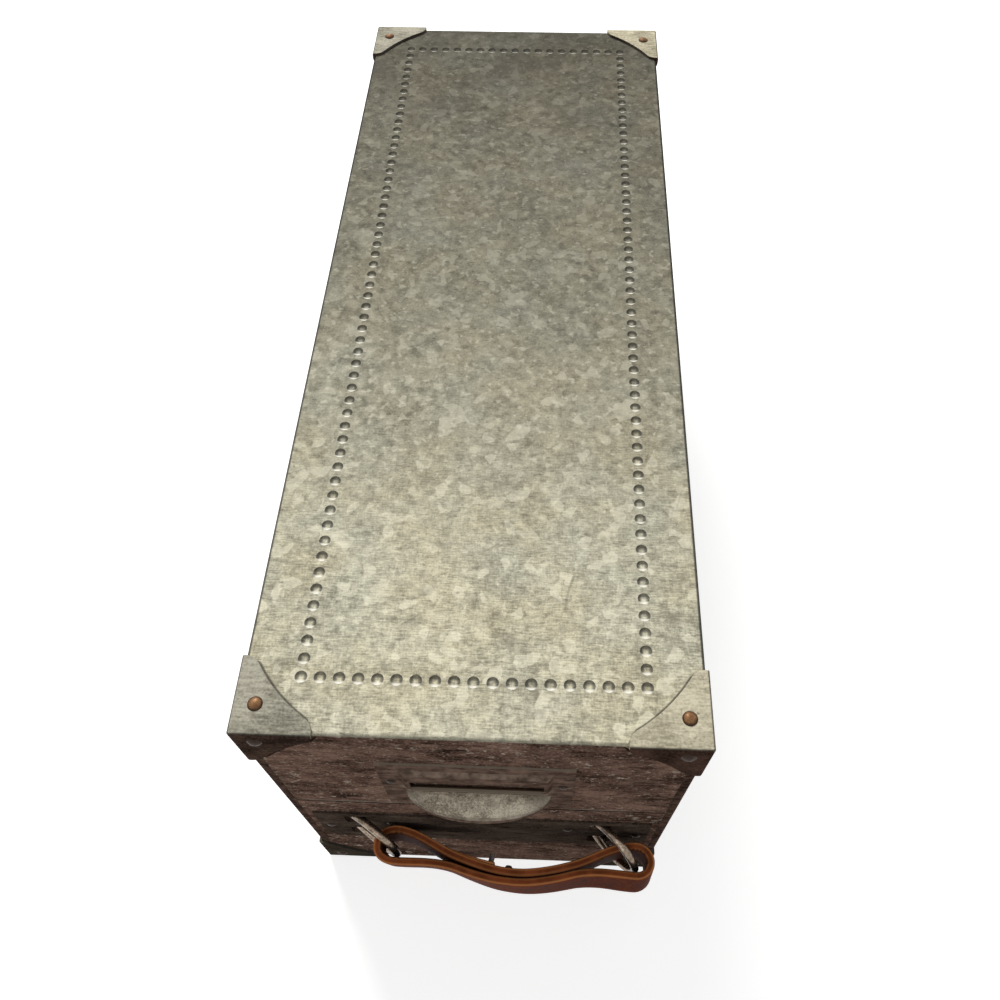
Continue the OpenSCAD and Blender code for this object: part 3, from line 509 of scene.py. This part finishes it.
# Which material each CAD node gets; the rest are low brackets or plain steel.
LOOKS = {
    "base_wrapper": zinc_pale, "lid_wrapper": zinc_pale, "base_rear_panel": zinc_pale,
    "lid_rear_panel": zinc_pale, "inner_rim": zinc_pale,
    "base_front_panel": dark_zinc, "lid_front_panel": dark_zinc, "handle_plate": plate_zinc,
    "label_pull": pull_zinc, "label_pull_rivets": dull_rivet, "handle_plate_rivets": dull_rivet,
    "base_bracket_rivets": copper, "lid_bracket_rivets": copper,
    "lid_bracket_front_left": bracket_left, "lid_bracket_rear_left": bracket_left,
    "lid_bracket_front_right": bracket_right, "lid_bracket_rear_right": bracket_right,
    "ring_left": ring_steel, "ring_right": ring_steel, "strap_rivets": pin_steel,
}
for name, node in frame["nodes"].items():
    look = LOOKS.get(name, bracket_low_shaded if "bracket" in name else dull_steel)
    node.data.materials.clear()
    node.data.materials.append(look)


# The strap, in millimetres: the same loop as the CAD solid, with rounded edges, layers and a lap.
STRAP_T = 3.5
STRAP_W = 18.0
# What the scene's leather stays inside the solid, in thickness and at each edge.
THIN_BY = 0.03
SLIM_BY = 0.25
# Rounding of its cut section, height of the bare cut edge, and how that fades.
CORNER_R = 0.55
CUT_BAND = 0.30
CUT_FADE = 0.5
WIRE_R = 1.8
BACK_LINE = WIRE_R + 4.6 + STRAP_T / 2
FRONT_LINE = WIRE_R + 0.6 + STRAP_T / 2
BIGHT_MID = (BACK_LINE - FRONT_LINE) / 2
BIGHT_HALF = (BACK_LINE + FRONT_LINE) / 2
GRIP_HALF = (STRAP_T + 0.4) / 2
END_LEFT = WIRE_R + 4.6 + STRAP_T / 2
END_RIGHT = WIRE_R + 3.0 + STRAP_T / 2
BOW = 10.3
BIGHT_LEN = 28.0
RIGHT_LEAN = math.radians(44)
# The outer layer's tilt at the left end, and what it gains towards the right.
TILT_LEFT = -0.14
TILT_GAIN = 0.36
TILT_FROM = 8
OUTWARD_PART = 0.6
# The lapped end: thickness, length, place, half its thinned tip, how much narrower it is at each
# edge, and how deep it beds.
LAP_T = 1.2
LAP_LEN = 22.0
LAP_OFF = 9.0
LAP_TIP = 0.12
LAP_SLIM = 0.3
LAP_SINK = 0.05
LAP_STEPS = 24

joints = {j["name"]: j for j in frame["joints"]}
pivot = Vector(joints["strap_turn"]["pos_m"]) / MM
left_hole = Vector(joints["left_ring_turn"]["pos_m"]) / MM
right_hole = Vector(joints["right_ring_turn"]["pos_m"]) / MM
reach = (pivot - left_hole).length
X0 = pivot.x
Y0 = pivot.y
X1 = right_hole.x + reach * math.sin(RIGHT_LEAN)
Y1 = right_hole.y - reach * math.cos(RIGHT_LEAN)


def smooth(t):
    """Eases a share between 0 and 1."""
    u = min(1.0, max(0.0, t))
    return u * u * (3 - 2 * u)


def strap_mid(x):
    """Middle of the loop at x, seen from above: it bows out between the rings."""
    share = min(1.0, max(0.0, (x - X0) / (X1 - X0)))
    return Y0 + (Y1 - Y0) * share + BIGHT_MID - BOW * math.sin(math.pi * share) ** 2


def layer_half(x):
    """Half the distance between the two layers' middle lines: wide at the rings, closed between."""
    return GRIP_HALF + (BIGHT_HALF - GRIP_HALF) * (1 - smooth(min(x - X0, X1 - x) / BIGHT_LEN))


def half_width(x):
    """Half the leather's width, a little uneven along its length."""
    return STRAP_W / 2 - SLIM_BY + 0.12 * math.sin(x * 0.11 + 0.7) + 0.08 * math.sin(x * 0.31)


def lean(x, y, w):
    """Outward shift of the outer layer at height w: it tips in at the left and out at the right."""
    outer = smooth((strap_mid(x) + 1.0 - y) / 2.0)
    tilt = TILT_LEFT + TILT_GAIN * smooth((x - X0 - TILT_FROM) / (X1 - X0 - TILT_FROM))
    if tilt < 0:
        return outer * tilt * w
    return outer * OUTWARD_PART * tilt * (w - STRAP_W / 2)


def loop_path(runs=90, turns=22):
    """Middle line of the leather seen from above, all the way round."""
    points = []
    for i in range(runs + 1):
        x = X0 + (X1 - X0) * i / runs
        points.append((x, strap_mid(x) - layer_half(x)))
    for i in range(1, turns):
        a = -math.pi / 2 + math.pi * i / turns
        points.append((X1 + END_RIGHT * math.cos(a), strap_mid(X1) + BIGHT_HALF * math.sin(a)))
    for i in range(runs + 1):
        x = X1 - (X1 - X0) * i / runs
        points.append((x, strap_mid(x) + layer_half(x)))
    for i in range(1, turns):
        a = math.pi / 2 + math.pi * i / turns
        points.append((X0 + END_LEFT * math.cos(a), strap_mid(X0) + BIGHT_HALF * math.sin(a)))
    return points


def section(half_t, half_w, corner):
    """Outline of the leather's cut section with rounded corners: pairs of offset and height."""
    spots = []
    for sx, sz, start in ((1, -1, -90), (1, 1, 0), (-1, 1, 90), (-1, -1, 180)):
        for k in range(4):
            a = math.radians(start + 30 * k)
            spots.append((sx * (half_t - corner) + corner * math.cos(a),
                          sz * (half_w - corner) + corner * math.sin(a)))
    rows = []
    for i, (u, w) in enumerate(spots):
        rows.append((u, w))
        nu, nw = spots[(i + 1) % len(spots)]
        cuts = 8 if abs(nw - w) > 4 else 6 if abs(nu - u) > 1.5 else 1
        rows += [(u + (nu - u) * j / cuts, w + (nw - w) * j / cuts) for j in range(1, cuts)]
    return rows


def sweep(name, path, closed, half_t, width_at, crease_and_shade_at=None, lean_at=lambda x, y, w: 0.0):
    """Runs the leather section along a path in plan and marks its cut edges, the painted highlight
    along their rims, and any creases and painted shade it is given.
    """
    bm = bmesh.new()
    marks = bm.loops.layers.color.new("marks")
    count = len(path)
    rings = []
    notes = {}
    for i, (x, y) in enumerate(path):
        a = path[(i - 1) % count] if closed or i else path[0]
        b = path[(i + 1) % count] if closed or i < count - 1 else path[-1]
        tangent = Vector((b[0] - a[0], b[1] - a[1])).normalized()
        side = Vector((tangent.y, -tangent.x))
        half_w = width_at(x)
        ht = half_t(i / (count - 1)) if callable(half_t) else half_t
        ring = []
        for u, w in section(ht, half_w, min(CORNER_R, ht * 0.8)):
            wave = 0.12 * math.sin(x * 0.19 + w * 0.3) + 0.08 * math.sin(x * 0.47 + 1.3)
            v = bm.verts.new(((x + side.x * u) * MM, (y + side.y * u + lean_at(x, y, w)) * MM,
                              (pivot.z + w + wave) * MM))
            inward = half_w - CUT_BAND - abs(w)
            edge = min(1.0, max(0.0, 1 - inward / CUT_FADE))
            # Painted highlight along the rounded rims of the cut edge.
            rim_highlight = max(0.0, 1 - abs(abs(u) - (ht - 0.5)) / 0.75) * edge
            notes[v] = (edge, crease_and_shade_at(x, u, w) if crease_and_shade_at else 0.0, rim_highlight, 1.0)
            ring.append(v)
        rings.append(ring)
    pairs = list(zip(rings, rings[1:] + rings[:1])) if closed else list(zip(rings, rings[1:]))
    for a, b in pairs:
        for j in range(len(a)):
            k = (j + 1) % len(a)
            bm.faces.new((a[j], a[k], b[k], b[j]))
    if not closed:
        bm.faces.new(list(reversed(rings[0])))
        bm.faces.new(rings[-1])
    bmesh.ops.recalc_face_normals(bm, faces=bm.faces)
    for face in bm.faces:
        face.smooth = True
        for loop in face.loops:
            loop[marks] = notes[loop.vert]
    mesh = bpy.data.meshes.new(name)
    bm.to_mesh(mesh)
    bm.free()
    obj = bpy.data.objects.new(name, mesh)
    bpy.context.scene.collection.objects.link(obj)
    mesh.materials.append(hide)
    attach(obj, "strap")
    return obj


def strap_crease_and_shade(x, u, w):
    """Painted shade where the layers meet, and dark wrinkles where the strap turns."""
    inside = 1.0 if u < -0.9 and abs(w) > half_width(x) - 1.2 else 0.0
    near = max(0.0, 1 - min(abs(x - X0), abs(x - X1)) / 10)
    wrinkle = near * max(0.0, math.sin(x * 3.1)) * 0.5
    return min(1.0, inside * 0.8 + wrinkle)


strap = sweep("strap_leather", loop_path(), True, STRAP_T / 2 - THIN_BY,
              half_width, strap_crease_and_shade, lean)
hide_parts("handle_strap")

LAP_X1 = (X0 + X1) / 2 - LAP_OFF
LAP_X0 = LAP_X1 - LAP_LEN
lap_line = []
for step in range(LAP_STEPS + 1):
    share = step / LAP_STEPS
    lx = LAP_X0 + LAP_LEN * share
    ly = strap_mid(lx) + layer_half(lx) + STRAP_T / 2 + LAP_T * share / 2 - LAP_SINK
    lap_line.append((lx, ly))
sweep("strap_lap", lap_line, False, lambda s: LAP_TIP + (LAP_T / 2) * s,
      lambda x: half_width(x) - LAP_SLIM)

# Floor, lamps and world.
floor_mesh = bpy.data.meshes.new("studio_floor")
bm = bmesh.new()
bmesh.ops.create_grid(bm, x_segments=8, y_segments=8, size=6.0)
bm.to_mesh(floor_mesh)
bm.free()
floor = bpy.data.objects.new("studio_floor", floor_mesh)
bpy.context.scene.collection.objects.link(floor)
floor_mesh.materials.append(floor_material())


def area_light(name, spot, target, size, power, color):
    """A rectangular lamp at a spot, turned to a target."""
    data = bpy.data.lights.new(name, "AREA")
    data.shape = "RECTANGLE"
    data.size, data.size_y = size
    data.energy = power
    data.color = color
    lamp = bpy.data.objects.new(name, data)
    lamp.location = spot
    lamp.rotation_mode = "QUATERNION"
    lamp.rotation_quaternion = (Vector(spot) - Vector(target)).to_track_quat("Z", "Y")
    bpy.context.scene.collection.objects.link(lamp)


area_light("key", spot=(-0.8, 2.3, 2.0), target=(0, 0, 0.15), size=(1.3, 1.0), power=98.0,
           color=(1.0, 0.985, 0.955))
area_light("fill", spot=(-0.4, -1.9, 1.6), target=(0, 0, 0.1), size=(1.2, 1.0), power=7.0,
           color=(1, 1, 1))

world = bpy.data.worlds.new("studio")
bpy.context.scene.world = world
world.use_nodes = True
sky = world.node_tree
sky.nodes.clear()
blend = sky.nodes.new("ShaderNodeMixShader")
sky.links.new(seen_directly(sky), blend.inputs[0])
for place, strength in ((1, SKY_LIGHT), (2, SKY_SEEN)):
    light = sky.nodes.new("ShaderNodeBackground")
    light.inputs["Color"].default_value = (1, 1, 1, 1)
    light.inputs["Strength"].default_value = strength
    sky.links.new(light.outputs[0], blend.inputs[place])
world_out = sky.nodes.new("ShaderNodeOutputWorld")
sky.links.new(blend.outputs[0], world_out.inputs[0])

# The camera, fitted to the box's edges in the photo: focal length and picture width in pixels.
FOCAL_PX = 897.26
PICTURE_PX = 1000
SENSOR_MM = 36.0
camera_data = bpy.data.cameras.new("camera")
camera_data.sensor_width = SENSOR_MM
camera_data.lens = FOCAL_PX / PICTURE_PX * SENSOR_MM
camera_data.shift_x = -0.0152
camera_data.shift_y = 0.0012
camera_data.clip_start = 0.01
camera = bpy.data.objects.new("camera", camera_data)
camera.location = (0.0212263, FRONT_Y - 0.0958458, 0.4988199)
camera.rotation_euler = (0.5705, 0.0066, 0.0378)
bpy.context.scene.collection.objects.link(camera)
bpy.context.scene.camera = camera
bpy.context.scene.view_settings.view_transform = "Standard"
